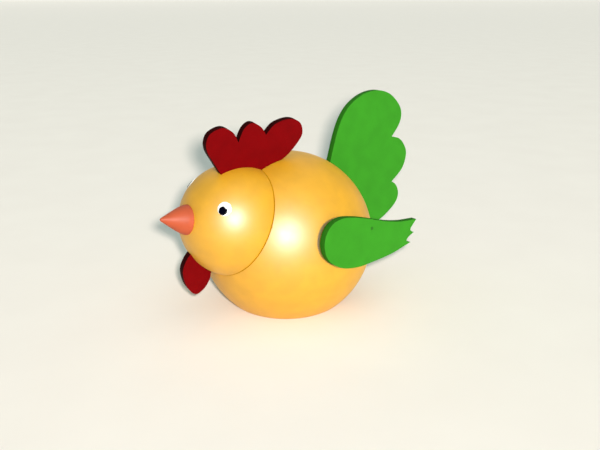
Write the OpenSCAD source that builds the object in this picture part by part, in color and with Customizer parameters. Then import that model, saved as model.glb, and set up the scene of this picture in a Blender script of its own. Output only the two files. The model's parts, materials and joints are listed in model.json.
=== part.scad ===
// Wind-up hopping chicken: a turned wooden ball body with a half-ball head,
// a cone beak, sawn-board comb, wattle, tail and wings, and a small clockwork
// motor in a bore under the body that kicks a foot down through the base.
// Frame: origin at the centre of the flat base, +Z up, beak towards -Y,
// the chicken's left side towards +X. Millimetres and degrees.

/* [Body and head] */
// Diameter of the body ball
body_d = 80; // [66:1:100]
// Diameter of the half ball that makes the head
head_d = 50; // [41:1:60]
// Diameter of the flat that the body stands on
base_d = 50; // [50:1:60]
// Rise of the neck axis above the horizontal
neck_rise = 26; // [15:1:40]
// Turn of the head about the neck axis at rest
head_turn = -10; // [-30:1:30]
// Gap between the head and the body at the neck
neck_gap = 0.2; // [0.15:0.05:0.4]
// Wood left round the top of the motor bore
crown_wall = 12; // [8:1:16]

/* [Boards] */
// Thickness of the comb, wattle, tail and wing boards
board_t = 3; // [2.5:0.5:4]
// Gap between a wing board and the side of the ball
wing_gap = 0.4; // [0.3:0.1:2]
// Rise of the middle of the tail's root round the ball
tail_rise = 30; // [25:1:40]
// Angle of the comb's root round the head, from straight ahead
comb_angle = 92; // [90:1:96]
// Angle of the wattle's root round the head, below straight ahead
wattle_angle = 42; // [38:1:46]

/* [Pegs and pins] */
// Diameter of the neck dowel
dowel_d = 8; // [6:1:10]
// Diameter of the wing dowels
wing_peg_d = 6; // [4:1:8]
// Diameter of the pins that hold the comb, wattle and tail
board_pin_d = 1.2; // [1:0.1:1.6]
// Diameter of the nail in each wing
nail_d = 0.8; // [0.6:0.1:1]

/* [Face] */
// Diameter of the beak at its base
beak_d = 13; // [10:0.5:18]
// How far the beak stands out of the head
beak_out = 11.5; // [8:0.5:16]
// Rise of the beak above straight ahead
beak_rise = 11; // [0:1:20]
// Diameter of the white of the eye
eye_d = 5.9; // [4:0.1:9]
// Diameter of the pupil
pupil_d = 3.7; // [2:0.1:5]
// Turn of each eye from straight ahead
eye_turn = 46; // [35:1:60]
// Rise of each eye above straight ahead
eye_rise = 34.5; // [20:0.5:45]

/* [Base] */
// Thickness of the base disc
base_t = 3; // [2.5:0.5:4]
// Width of the body's rim round the base disc
rim_w = 2.5; // [2:0.5:4]
// Width of the ledge that the base disc is screwed to
ledge_w = 5; // [4.5:0.5:6]

/* [Motor] */
// Distance between the motor's side plates
motor_w = 16; // [15:0.5:17]
// Thickness of the motor's side plates
plate_t = 1; // [0.8:0.1:1.2]
// Tooth module of the gears
gear_module = 0.4; // [0.36:0.01:0.42]
// Teeth on the great wheel
great_teeth = 36;
// Teeth on the second wheel
second_teeth = 32;
// Teeth on each pinion
pinion_teeth = 8;
// Diameter of the winding arbor
arbor_d = 2.5; // [2:0.1:3]
// Diameter of the train's thin arbors
pivot_d = 1.5; // [1.2:0.1:1.8]
// Diameter of the winding key's stem
stem_d = 4; // [3.5:0.5:5]
// Span of the winding key's wings
key_span = 19; // [16:1:22]
// How far the kicker's foot stands back from the base plane
foot_recess = 0.6; // [0.4:0.1:1]

/* [Hidden] */

$fn = 96;
// Radial play of a shaft that turns in a hole
running_play = 0.05;
// Overshoot of a cutting tool past the face it cuts
over = 1;
// Gap that keeps a moving board off the ball
sweep_gap = 0.3;
// Length that two solids of one piece share where they join
join = 0.5;

body_r = body_d / 2;
head_r = head_d / 2;
base_r = base_d / 2;
centre_z = sqrt(body_r * body_r - base_r * base_r);
neck_s = sqrt(body_r * body_r - head_r * head_r);

// ---- frames ----

module at_body() translate([0, 0, centre_z]) children();

// Local +Z runs out along the neck axis from the middle of the ball
module along_neck() at_body() rotate([90 - neck_rise, 0, 0]) rotate([0, 0, head_turn]) children();

// Upright frame at the middle of the head, turned with the head
module at_head() along_neck() translate([0, 0, neck_s + neck_gap]) rotate([neck_rise - 90, 0, 0]) children();

// Local +Z points out of the head: rise above straight ahead, turn to the left
module out_of_head(rise, turn = 0) at_head() rotate([0, 0, turn]) rotate([90 - rise, 0, 0]) children();

// A child drawn in plan with its height along +Z is laid along +X at y, z
module along_x(x, p) translate([x, p[0], p[1]]) rotate([90, 0, 90]) children();

module rod(x, p, r, len) along_x(x, p) cylinder(r = r, h = len);

// A flat outline (forward, up) of the head becomes a board in its mid plane
module head_board() at_head() rotate([90, 0, -90]) linear_extrude(board_t, center = true) children();

// A flat outline (back, up) of the body becomes a board at x
module body_board(x) at_body() along_x(x, [0, 0]) linear_extrude(board_t) children();

// ---- outlines ----

function spline(a, b, c, d, t) = 0.5 * (2 * b + (c - a) * t + (2 * a - 5 * b + 4 * c - d) * t * t
    + (3 * b - 3 * c + d - a) * t * t * t);

// A smooth open curve through the points, without its last point
function curve(p, n = 8) = [for (i = [0 : len(p) - 2], k = [0 : n - 1])
    spline(p[max(i - 1, 0)], p[i], p[i + 1], p[min(i + 2, len(p) - 1)], k / n)];

function polar(r, a) = [r * cos(a), r * sin(a)];

// Point at distances ra from a and rc from c, above the line from a to c
function third_point(a, c, ra, rc) = let (d = norm(c - a), e = (c - a) / d,
    k = (ra * ra - rc * rc + d * d) / (2 * d), h = sqrt(ra * ra - k * k))
    a + e * k + [e[1], -e[0]] * h;

function heading(a, b) = atan2(b[1] - a[1], b[0] - a[0]);

// A flat bar with round ends
module bar(a, b, w) {
    translate(a) rotate(heading(a, b)) translate([0, -w / 2]) square([norm(b - a), w]);
    translate(a) circle(d = w, $fn = 32);
    translate(b) circle(d = w, $fn = 32);
}

// ---- wooden parts ----

bore_r = base_r - rim_w - ledge_w;
bore_top = centre_z + sqrt(pow(body_r - crown_wall, 2) - bore_r * bore_r);
disc_r = base_r - rim_w;
disc_play = 0.1;
disc_screw_r = disc_r - ledge_w / 2;
disc_screw_angles = [90, 210, 330];
screw_r = 0.8;
screw_depth = 10;
dowel_r = dowel_d / 2;
washer_r = 5;
washer_t = 0.8;
neck_pocket_r = 6.2;
neck_pocket_deep = 2.6;
// Where the neck washer's seat is cut, along the neck axis
neck_seat = bore_r / cos(neck_rise) + neck_pocket_deep;
neck_end_gap = 0.2;
dowel_in_head = 10;
neck_screw_len = 8;
neck_screw_head_r = 3;
neck_screw_head_t = 1.5;

module body_shell() color("goldenrod") difference() {
    at_body() sphere(body_r);
    translate([0, 0, -body_r]) cylinder(r = body_r, h = body_r);
    along_neck() translate([0, 0, neck_s]) cylinder(r = body_r, h = body_r);
    translate([0, 0, -over]) cylinder(r = bore_r, h = bore_top + over);
    translate([0, 0, -over]) cylinder(r = disc_r + disc_play, h = base_t + over);
    for (a = disc_screw_angles) rotate([0, 0, a]) translate([disc_screw_r, 0, 0])
        cylinder(r = screw_r, h = screw_depth);
    along_neck() cylinder(r = dowel_r + running_play, h = body_r);
    along_neck() cylinder(r = neck_pocket_r, h = neck_seat);
    rod(-body_r, winding_at, bush_r, body_r);
    rod(-body_r - over, winding_at, key_pocket_r, body_r + over - key_seat);
    for (s = [-1, 1]) {
        at_body() wing_peg_solid(s);
        at_body() wing_nail_shank(s);
    }
    tail_pin_solids();
}

module head() color("goldenrod") difference() {
    along_neck() translate([0, 0, neck_s + neck_gap]) intersection() {
        sphere(head_r);
        cylinder(r = head_r, h = head_r);
    }
    along_neck() cylinder(r = dowel_r, h = neck_s + neck_gap + dowel_in_head);
    out_of_head(beak_rise) translate([0, 0, beak_tenon_s]) cylinder(r = beak_tenon_r, h = head_r);
    comb_pin_solids();
    wattle_pin_solid();
}

module neck_dowel() color("burlywood") along_neck() difference() {
    translate([0, 0, neck_seat - neck_end_gap])
        cylinder(r = dowel_r, h = neck_s + neck_gap + dowel_in_head - neck_seat + neck_end_gap);
    cylinder(r = screw_r, h = neck_seat - neck_end_gap + neck_screw_len);
}

washer_s = neck_seat - neck_end_gap - washer_t;

module neck_washer() color("silver") along_neck() translate([0, 0, washer_s]) difference() {
    cylinder(r = washer_r, h = washer_t);
    translate([0, 0, -over]) cylinder(r = screw_r, h = washer_t + 2 * over);
}

module neck_screw() color("silver") along_neck() {
    translate([0, 0, washer_s - neck_screw_head_t]) cylinder(r = neck_screw_head_r, h = neck_screw_head_t);
    translate([0, 0, washer_s - join]) cylinder(r = screw_r, h = neck_screw_len + washer_t);
}

beak_tenon_r = 3;
beak_tenon_s = head_r - 9;

module beak() color("coral") out_of_head(beak_rise) {
    difference() {
        translate([0, 0, head_r]) rotate_extrude() polygon(concat(
            [[0, -beak_d / 4], [beak_d / 2, -beak_d / 4]],
            curve([[beak_d / 2, -beak_d / 16], [beak_d * 0.4, beak_out * 0.3],
                [beak_d * 0.22, beak_out * 0.7], [beak_d * 0.09, beak_out * 0.94], [0, beak_out]], 5),
            [[0, beak_out]]));
        sphere(head_r);
    }
    translate([0, 0, beak_tenon_s]) cylinder(r = beak_tenon_r, h = head_r - beak_tenon_s + over);
}

// ---- comb, wattle and tail ----

comb_root = polar(head_r, comb_angle);
comb_outline = concat(
    curve([[8, -6], [10, -1.7], [14, 4.5], [16.7, 9], [17.4, 13], [15.5, 16.8], [10, 18.6],
        [5, 16], [2.3, 11.5]]),
    curve([[2.3, 11.5], [0, 17], [-3.8, 19.3], [-8.4, 17], [-11, 13.3]]),
    curve([[-11, 13.3], [-15.3, 17.6], [-22.6, 19.2], [-28, 17.2], [-30, 12.8], [-28.6, 8.8],
        [-22.6, 2.4], [-16, -0.8], [-11, -3.2], [-7, -6]]),
    [[-7, -6]]);

module clear_of_balls() difference() {
    children();
    at_head() sphere(head_r);
    at_body() sphere(body_r + sweep_gap);
}

board_pin_r = board_pin_d / 2;
pin_in_wood = 6;
pin_in_board = 5;
comb_pins_at = [-5, 5];
tail_pins_turned = [-22, 14];

module pin(r) cylinder(r = r, h = pin_in_wood + pin_in_board, $fn = 32);

module comb_pin_solids() for (f = comb_pins_at) at_head()
    translate([0, -f, sqrt(head_r * head_r - f * f) - pin_in_wood]) pin(board_pin_r);

module wattle_pin_solid() out_of_head(-wattle_angle) translate([0, 0, head_r - pin_in_wood]) pin(board_pin_r);

module tail_pin_solids() at_body() for (a = tail_pins_turned)
    rotate([tail_rise + a - 90, 0, 0]) translate([0, 0, body_r - pin_in_wood]) pin(board_pin_r);

module comb() color("darkred") difference() {
    clear_of_balls() head_board() translate(comb_root) polygon(comb_outline);
    comb_pin_solids();
}

module comb_pins() color("silver") comb_pin_solids();

wattle_root = polar(head_r, -wattle_angle);
wattle_outline = concat(
    curve([[-1.6, 7.7], [3.8, 5.2], [7, -0.8], [6.7, -6.3], [4.4, -11.8], [0.7, -15.5],
        [-3.4, -13.6], [-6, -9.5], [-6.6, -5.8], [-8.6, -0.3]]),
    [[-8.6, -0.3]]);

module wattle() color("darkred") difference() {
    clear_of_balls() head_board() translate(wattle_root) polygon(wattle_outline);
    wattle_pin_solid();
}

module wattle_pin() color("silver") wattle_pin_solid();

tail_root = polar(body_r, tail_rise);
tail_outline = concat(
    curve([[-12.6, 2], [-8.8, 11.7], [-5.1, 23.8], [-1.3, 32], [4.4, 38.1], [12.9, 42.1], [22.4, 42.9],
        [31, 40.2], [37.5, 34.4], [39.4, 29.5], [38, 24.4], [32.9, 18.5]]),
    curve([[32.9, 18.5], [38.4, 17], [42.5, 13], [44.2, 7.9], [41.6, 0.8], [34.1, -5.2]]),
    curve([[34.1, -5.2], [37.5, -7.7], [39.3, -12.7], [36.6, -17.9], [26.8, -23.9], [14, -27.6], [3, -29]]),
    [[3, -29]]);

module tail() color("limegreen") difference() {
    body_board(-board_t / 2) translate(tail_root) polygon(tail_outline);
    at_body() sphere(body_r);
    tail_pin_solids();
}

module tail_pins() color("silver") tail_pin_solids();

// ---- wings ----

wing_outline = concat(
    curve([[41.4, 10.3], [31.6, 11.2], [22, 13.3], [14.5, 15.6], [4, 18.7], [-4.6, 19.9], [-11, 17.5],
        [-14, 10.7], [-11.6, 3.2], [-4.4, -1.9], [4, -3.9], [12, -3.9], [26, -2.8], [38.2, -0.1]]),
    curve([[38.2, -0.1], [36, 0.6], [35.6, 1.8], [37.2, 3.1], [40.1, 4.3]], 4),
    curve([[40.1, 4.3], [38.1, 5.4], [37.8, 6.6], [39, 7.9], [41.4, 10.3]], 4));

wing_inner_x = body_r + wing_gap;
wing_peg_at = [4, 6];
wing_peg_in_board = board_t / 2;
wing_peg_in_ball = 8;
nail_at = [13, 12];
nail_in_ball = 6;
nail_head_r = 0.7;
nail_head_out = 0.15;
nail_r = nail_d / 2;

module wing_peg_solid(side) mirror([side < 0 ? 1 : 0, 0, 0])
    rod(body_r - wing_peg_in_ball, wing_peg_at, wing_peg_d / 2,
        wing_peg_in_ball + wing_gap + wing_peg_in_board);

nail_end_x = sqrt(body_r * body_r - pow(norm(nail_at), 2)) - nail_in_ball;

module wing_nail_shank(side) mirror([side < 0 ? 1 : 0, 0, 0])
    rod(nail_end_x, nail_at, nail_r, wing_inner_x + board_t - nail_end_x);

module wing(side) color("limegreen") difference() {
    mirror([side < 0 ? 1 : 0, 0, 0]) body_board(wing_inner_x) polygon(wing_outline);
    at_body() wing_peg_solid(side);
    at_body() wing_nail_shank(side);
}

module wing_peg(side) color("burlywood") at_body() wing_peg_solid(side);

module wing_nail(side) color("dimgray") at_body() {
    wing_nail_shank(side);
    mirror([side < 0 ? 1 : 0, 0, 0]) rod(wing_inner_x + board_t, nail_at, nail_head_r, nail_head_out);
}

// ---- eyes: raised spots of enamel ----

eye_film = 0.25;
pupil_film = 0.2;
// How far each pupil sits below and ahead of the middle of the white, in degrees
pupil_drop = 2.1;
pupil_ahead = 1.3;

module spot(r_in, film, d, rise, turn) difference() {
    intersection() {
        at_head() sphere(r_in + film);
        out_of_head(rise, turn) cylinder(d = d, h = head_r + over);
    }
    at_head() sphere(r_in);
}

module eye(side) color("white") spot(head_r, eye_film, eye_d, eye_rise, side * eye_turn);

module pupil(side) color("black")
    spot(head_r + eye_film, pupil_film, pupil_d, eye_rise - pupil_drop, side * (eye_turn - pupil_ahead));

// ---- base ----

slot_w = 8;
slot_front = -13.5;
slot_back = -2.2;
sunk_head_r = 1.9;
sunk_head_t = 1.3;
sunk_depth = 0.2;
flange_screws_y = [-3, 5];
flange_screw_end = 0.8;

module base_plate() color("peru") difference() {
    cylinder(r = disc_r, h = base_t);
    translate([-slot_w / 2, slot_front, -over]) cube([slot_w, slot_back - slot_front, base_t + 2 * over]);
    base_screws_solid(over);
    motor_screw_shanks();
}

// Countersunk screws, and the holes that they fill
module base_screws_solid(head_extra = 0) for (a = disc_screw_angles) rotate([0, 0, a])
    translate([disc_screw_r, 0, 0]) {
        translate([0, 0, sunk_depth]) cylinder(r1 = sunk_head_r, r2 = screw_r, h = sunk_head_t);
        translate([0, 0, sunk_depth - head_extra]) cylinder(r = sunk_head_r, h = head_extra);
        translate([0, 0, sunk_depth]) cylinder(r = screw_r, h = screw_depth - sunk_depth);
    }

module base_screws() color("silver") base_screws_solid();

// ---- clockwork motor ----

winding_at = [1, 15];
cam_at = [-10.5, 11];
great_r = gear_module * great_teeth / 2;
second_r = gear_module * second_teeth / 2;
pinion_r = gear_module * pinion_teeth / 2;
second_at = third_point(winding_at, cam_at, great_r + pinion_r, second_r + pinion_r);
arbor_r = arbor_d / 2;
pivot_r = pivot_d / 2;
half_w = motor_w / 2;
plate_to_bore = 1;
// The side plates reach as far as the bore leaves them
plate_reach = sqrt(bore_r * bore_r - pow(half_w + plate_t, 2)) - plate_to_bore;
plate_top = 29;
pillars_at = [[-11.5, 27], [10.5, 26], [10.4, 15]];
pillar_r = 1.5;
rivet_r = 0.9;
flange_w = 4;
flange_front = -5.5;
flange_back = 7.5;
flange_screws_x = half_w + plate_t + flange_w / 2;
flange_screw_play = 0.2;
motor_screw_head_r = 1.5;
motor_screw_head_t = 1;
governor_lean = 100;
governor_reach = 6;
governor_at = cam_at + polar(governor_reach, governor_lean);
kicker_at = [10.5, 6.2];
kicker_pin_r = 1;

// A tooth's depth and height in modules, and its half widths as shares of the tooth spacing
tooth_depth = 1.1;
tooth_height = 0.7;
tooth_root = 0.26;
tooth_tip = 0.11;

// Toothed disc with straight-sided teeth, one tooth pointing along turn
module gear(teeth, turn, t, bore) linear_extrude(t) difference() {
    r = gear_module * teeth / 2;
    step = 360 / teeth;
    root = r - tooth_depth * gear_module;
    tip = r + tooth_height * gear_module;
    polygon([for (i = [0 : teeth - 1]) let (a = turn + i * step)
        each [polar(root, a - tooth_root * step), polar(tip, a - tooth_tip * step),
            polar(tip, a + tooth_tip * step), polar(root, a + tooth_root * step)]]);
    circle(bore, $fn = 48);
}

function gap_turn(teeth) = 180 / teeth;

great_to_second = heading(winding_at, second_at);
second_to_cam = heading(second_at, cam_at);

// Motor side plate with its foot flange turned out, for the +X side
module motor_plate(side) color("khaki") mirror([side < 0 ? 1 : 0, 0, 0]) difference() {
    union() {
        translate([half_w, -plate_reach, base_t]) cube([plate_t, 2 * plate_reach, plate_top - base_t]);
        translate([half_w, flange_front, base_t])
            cube([plate_t + flange_w, flange_back - flange_front, plate_t]);
    }
    rod(0, winding_at, arbor_r + running_play, half_w * 2);
    for (p = [second_at, cam_at]) rod(0, p, pivot_r + running_play, half_w * 2);
    if (side < 0) rod(0, governor_at, pivot_r, half_w * 2);
    for (p = pillars_at) rod(0, p, rivet_r, half_w * 2);
    rod(0, kicker_at, kicker_pin_r, half_w * 2);
    for (y = flange_screws_y) translate([flange_screws_x, y, 0])
        cylinder(r = screw_r + flange_screw_play, h = plate_top);
}

module motor_pillars() color("silver") for (p = pillars_at) {
    rod(-half_w, p, pillar_r, motor_w);
    rod(-half_w - plate_t, p, rivet_r, motor_w + 2 * plate_t);
}

module motor_screw_shanks() for (s = [-1, 1], y = flange_screws_y)
    translate([s * flange_screws_x, y, flange_screw_end])
        cylinder(r = screw_r, h = base_t + plate_t - flange_screw_end);

module motor_screws() color("silver") {
    motor_screw_shanks();
    for (s = [-1, 1], y = flange_screws_y) translate([s * flange_screws_x, y, base_t + plate_t])
        cylinder(r = motor_screw_head_r, h = motor_screw_head_t);
}

// ---- winding ----

arbor_socket = 2.5;
arbor_out = 4;
bush_wall = 1.4;
bush_flange_w = 1.4;
bush_flange_t = 1.2;
bush_len = 8;
bush_r = stem_d / 2 + bush_wall;
bush_flange_r = bush_r + bush_flange_w;
key_pocket_w = 1.4;
key_pocket_r = bush_flange_r + key_pocket_w;
key_pocket_deep = 0.4;
// The key's pocket is cut back to where the ball is as wide as the pocket
key_seat = sqrt(body_r * body_r - pow(centre_z - winding_at[1] + key_pocket_r, 2)) - key_pocket_deep;
key_clear = 1.5;
key_x = body_r + wing_gap + board_t + key_clear;
stem_in = half_w + plate_t + arbor_out - arbor_socket;
key_t = 1.6;
key_lobe_r = key_span / 4;
key_hole_r = key_lobe_r * 0.42;
key_hub_wall = 0.8;
key_hub_len = 2.4;
key_lobe_gap = 0.6;
key_lobe_x = key_x + key_lobe_gap + key_lobe_r;
ratchet_x = -5.6;
ratchet_t = 1;
ratchet_teeth = 12;
ratchet_tip = 3.2;
ratchet_root = 2.5;
ratchet_turn = -60;

module winding_arbor() color("silver")
    rod(-half_w - plate_t - arbor_out, winding_at, arbor_r, arbor_out + motor_w + 2 * plate_t - running_play);

module winding_key() color("silver") difference() {
    union() {
        rod(-key_x, winding_at, stem_d / 2, key_x - stem_in);
        rod(join - key_x - key_hub_len, winding_at, stem_d / 2 + key_hub_wall, key_hub_len);
        translate([-key_lobe_x, winding_at[0], winding_at[1]]) {
            for (s = [-1, 1]) translate([0, s * key_lobe_r, -key_t / 2]) cylinder(r = key_lobe_r, h = key_t);
            translate([0, -key_lobe_r, -key_t / 2]) cube([key_lobe_r, 2 * key_lobe_r, key_t]);
        }
    }
    rod(-stem_in - arbor_socket, winding_at, arbor_r, arbor_socket + over);
    translate([-key_lobe_x, winding_at[0], winding_at[1] - key_t])
        for (s = [-1, 1]) translate([0, s * key_lobe_r, 0]) cylinder(r = key_hole_r, h = 2 * key_t);
}

module key_bush() color("gold") difference() {
    union() {
        rod(-key_seat - bush_flange_t, winding_at, bush_flange_r, bush_flange_t);
        rod(-key_seat, winding_at, bush_r, bush_len);
    }
    rod(-body_r, winding_at, stem_d / 2 + running_play, body_r);
}

module ratchet_wheel() color("silver") along_x(ratchet_x, winding_at) linear_extrude(ratchet_t) difference() {
    polygon([for (i = [0 : ratchet_teeth - 1]) let (a = ratchet_turn + i * 360 / ratchet_teeth)
        each [polar(ratchet_root, a), polar(ratchet_tip, a + 360 / ratchet_teeth)]]);
    circle(arbor_r);
}

spring_x = -4.2;
spring_w = 7.2;
spring_play = 0.3;
spring_in_r = arbor_r + spring_play;
spring_out_r = 7;
spring_turns = 5;
spring_t = 0.3;
spring_steps = 24;

// Flat spiral strip, its outer end hooked to the pillar behind it
module mainspring() color("slategray") along_x(spring_x, winding_at) linear_extrude(spring_w) {
    n = spring_turns * spring_steps;
    pitch = (spring_out_r - spring_in_r) / n;
    hook = pillars_at[2][0] - pillar_r - winding_at[0];
    polygon(concat([for (i = [0 : n]) polar(spring_in_r + i * pitch, i * 360 / spring_steps)],
        [[spring_out_r, spring_t], [hook, spring_t], [hook, 0]],
        [for (i = [n : -1 : 0]) polar(spring_in_r + i * pitch + spring_t, i * 360 / spring_steps)]));
}

// ---- great wheel, click and train ----

great_x = -7;
wheel_t = 1;
click_r = 5.8;
click_ahead = 46;
click_pin_at = winding_at + polar(click_r, ratchet_turn + click_ahead);
click_nose_gap = 0.47;
click_nose_ahead = 10.5;
click_tip_at = winding_at + polar(ratchet_tip + click_nose_gap, ratchet_turn + click_nose_ahead);
click_w = 0.8;
click_heel = 1.3;
click_heel_at = click_pin_at + polar(click_heel, heading(click_tip_at, click_pin_at));
click_hub_r = 0.9;
click_pin_r = 0.5;
click_spring_t = 0.3;
// Room for the heel to rise when the click lifts
click_heel_room = 0.3;
click_spring_ahead = 100;
click_spring_root = winding_at + polar(click_r, ratchet_turn + click_spring_ahead);
click_spring_tip = click_heel_at
    + polar((click_w + click_spring_t) / 2 + click_heel_room, heading(click_tip_at, click_pin_at) + 90);

module great_wheel() color("gold") difference() {
    along_x(great_x, winding_at) gear(great_teeth, great_to_second, wheel_t, arbor_r + running_play);
    rod(great_x - over, click_pin_at, click_pin_r, wheel_t + 2 * over);
    rod(great_x - over, click_spring_root, click_pin_r, wheel_t + 2 * over);
}

module click_pin() color("silver") rod(great_x, click_pin_at, click_pin_r, ratchet_x + ratchet_t - great_x);

module ratchet_click() color("silver") along_x(ratchet_x, [0, 0]) linear_extrude(ratchet_t) difference() {
    union() {
        translate(click_pin_at) circle(click_hub_r, $fn = 32);
        bar(click_heel_at, click_tip_at, click_w);
    }
    translate(click_pin_at) circle(click_pin_r + running_play, $fn = 32);
}

// Thin strip on its own post, over the click's heel
module click_spring() color("slategray") {
    along_x(ratchet_x, [0, 0]) linear_extrude(ratchet_t)
        bar(click_spring_root, click_spring_tip, click_spring_t);
    rod(great_x, click_spring_root, click_pin_r, ratchet_x + ratchet_t - great_x);
}

second_to_plate = 2.6;
second_x = half_w - second_to_plate;
pinion_t = 1.6;
pinion_over = 0.3;

module second_arbor() color("silver") {
    rod(-half_w - plate_t + running_play, second_at, pivot_r, motor_w + 2 * (plate_t - running_play));
    along_x(great_x - pinion_over, second_at)
        gear(pinion_teeth, great_to_second + 180 + gap_turn(pinion_teeth), pinion_t, pivot_r);
}

module second_wheel() color("gold") along_x(second_x, second_at)
    gear(second_teeth, second_to_cam, wheel_t, pivot_r);

module cam_arbor() color("silver") {
    rod(-half_w - plate_t + running_play, cam_at, pivot_r, motor_w + 2 * (plate_t - running_play));
    along_x(second_x - pinion_over, cam_at)
        gear(pinion_teeth, second_to_cam + 180 + gap_turn(pinion_teeth), pinion_t, pivot_r);
}

cam_x = -1;
cam_t = 2;
cam_r = 2.4;
cam_throw = 1.1;

module kick_cam() color("gold") along_x(cam_x, cam_at) linear_extrude(cam_t) difference() {
    translate([0, cam_throw]) circle(cam_r);
    circle(pivot_r);
}

star_x = -2.4;
star_t = 1;
star_teeth = 8;
star_tip = 3.2;
star_root = 1.9;
star_tip_half = 3;
star_root_half = 9;

module star_wheel() color("gold") along_x(star_x, cam_at) linear_extrude(star_t) difference() {
    polygon([for (i = [0 : star_teeth - 1]) let (a = governor_lean + i * 360 / star_teeth)
        each [polar(star_root, a - star_root_half), polar(star_tip, a - star_tip_half),
            polar(star_tip, a + star_tip_half), polar(star_root, a + star_root_half)]]);
    circle(pivot_r);
}

// ---- governor: a rocking weight with two pallet pins astride the star wheel ----

pallet_r = 0.4;
pallet_play = 0.2;
pallet_spread = 67.5;
rocker_x = -3.6;
rocker_t = 0.8;
rocker_w = 1.2;
rocker_hub_r = 1.6;
rocker_stem_w = 1.6;
rocker_play = 0.1;
stud_collar_r = 1.3;
stud_collar_t = 0.5;
weight_low = 3;
weight_high = 7;
weight_w = 5;
weight_t = 3.2;

function pallet_at(s) = cam_at + polar(star_tip + pallet_play + pallet_r, governor_lean + s * pallet_spread);

// Shouldered stud riveted in the right side plate, its end spread into a collar
module governor_stud() color("silver") {
    collar_x = rocker_x + rocker_t + rocker_play;
    rod(-half_w - plate_t, governor_at, pivot_r, half_w + plate_t + collar_x + stud_collar_t);
    rod(-half_w, governor_at, rocker_hub_r, half_w + rocker_x - rocker_play);
    rod(collar_x, governor_at, stud_collar_r, stud_collar_t);
}

module governor_rocker() color("silver") {
    along_x(rocker_x, [0, 0]) linear_extrude(rocker_t) difference() {
        union() {
            for (s = [-1, 1]) bar(governor_at, pallet_at(s), rocker_w);
            translate(governor_at) circle(rocker_hub_r);
            translate(governor_at) rotate(governor_lean) translate([0, -rocker_stem_w / 2])
                square([weight_high, rocker_stem_w]);
        }
        translate(governor_at) circle(pivot_r + running_play);
    }
    for (s = [-1, 1]) rod(rocker_x, pallet_at(s), pallet_r, star_x + star_t - rocker_x);
}

module governor_weight() color("gold") along_x(rocker_x + rocker_t, governor_at) linear_extrude(weight_t)
    rotate(governor_lean) translate([weight_low, -weight_w / 2]) square([weight_high - weight_low, weight_w]);

// ---- kicker ----

lever_w = 4;
lever_t = 1.6;
lever_top = 7;
lever_front = -13.2;
hub_r = 1.8;
post_inset = 1;
foot_w = 6;
foot_front = -12;
foot_back = -4;
foot_t = 3;
kick_spring_r = 0.2;
kick_spring_coil_r = 1.4;
kick_spring_turns = 4;
kick_spring_gap = 0.5;

module kicker_lever() color("silver") difference() {
    union() {
        translate([-lever_w / 2, lever_front, lever_top - lever_t])
            cube([lever_w, kicker_at[0] - lever_front, lever_t]);
        rod(-lever_w / 2, kicker_at, hub_r, lever_w);
        translate([-lever_w / 2, foot_front + post_inset, foot_recess + foot_t])
            cube([lever_w, foot_back - foot_front - 2 * post_inset,
                lever_top - lever_t / 2 - foot_recess - foot_t]);
    }
    rod(-lever_w, kicker_at, kicker_pin_r + running_play, 2 * lever_w);
}

module kicker_pivot() color("silver")
    rod(-half_w - plate_t, kicker_at, kicker_pin_r, motor_w + 2 * plate_t);

module kicker_foot() color("dimgray")
    translate([-foot_w / 2, foot_front, foot_recess]) cube([foot_w, foot_back - foot_front, foot_t]);

// Torsion spring wound round the kicker pivot beside the lever, as a stack of turns
module kicker_spring() color("slategray") for (i = [0 : kick_spring_turns - 1])
    along_x(lever_w / 2 + kick_spring_gap + i * 2 * kick_spring_r, kicker_at) rotate_extrude()
        translate([kick_spring_coil_r, 0]) circle(kick_spring_r + running_play / 4, $fn = 24);

// ---- nodes ----

body_shell();
head();
neck_dowel();
neck_washer();
neck_screw();
beak();
comb();
comb_pins();
wattle();
wattle_pin();
tail();
tail_pins();
wing(1);  // wing_left
wing(-1);  // wing_right
wing_peg(1);  // wing_peg_left
wing_peg(-1);  // wing_peg_right
wing_nail(1);  // wing_nail_left
wing_nail(-1);  // wing_nail_right
eye(1);  // eye_left
eye(-1);  // eye_right
pupil(1);  // pupil_left
pupil(-1);  // pupil_right
base_plate();
base_screws();
motor_plate(1);  // motor_plate_left
motor_plate(-1);  // motor_plate_right
motor_pillars();
motor_screws();
winding_arbor();
winding_key();
key_bush();
ratchet_wheel();
mainspring();
great_wheel();
click_pin();
ratchet_click();
click_spring();
second_arbor();
second_wheel();
cam_arbor();
kick_cam();
star_wheel();
governor_stud();
governor_rocker();
governor_weight();
kicker_lever();
kicker_pivot();
kicker_foot();
kicker_spring();
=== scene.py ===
"""Looks of the wind-up hopping chicken: painted wood, board trim, key and stage."""

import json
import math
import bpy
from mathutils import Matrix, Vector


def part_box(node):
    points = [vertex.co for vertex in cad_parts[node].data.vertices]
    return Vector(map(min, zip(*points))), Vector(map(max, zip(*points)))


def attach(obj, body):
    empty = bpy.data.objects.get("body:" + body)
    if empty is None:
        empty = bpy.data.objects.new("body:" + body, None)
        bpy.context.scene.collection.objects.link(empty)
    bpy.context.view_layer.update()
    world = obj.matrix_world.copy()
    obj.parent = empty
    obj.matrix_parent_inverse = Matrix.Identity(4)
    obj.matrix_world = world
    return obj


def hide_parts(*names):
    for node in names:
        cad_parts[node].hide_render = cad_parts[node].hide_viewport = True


bl_info = {
    "name": "Wind-up Hopping Chicken",
    "version": (1, 0, 0),
    "blender": (4, 5, 0),
    "location": "View3D > Sidebar > Chicken",
    "description": "Dresses the chicken's frame with turned, sawn and enamelled pieces",
    "category": "Object",
}

import bmesh
import bpy
from bpy.props import FloatProperty, FloatVectorProperty, IntProperty, PointerProperty
from mathutils import Matrix, Vector

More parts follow.
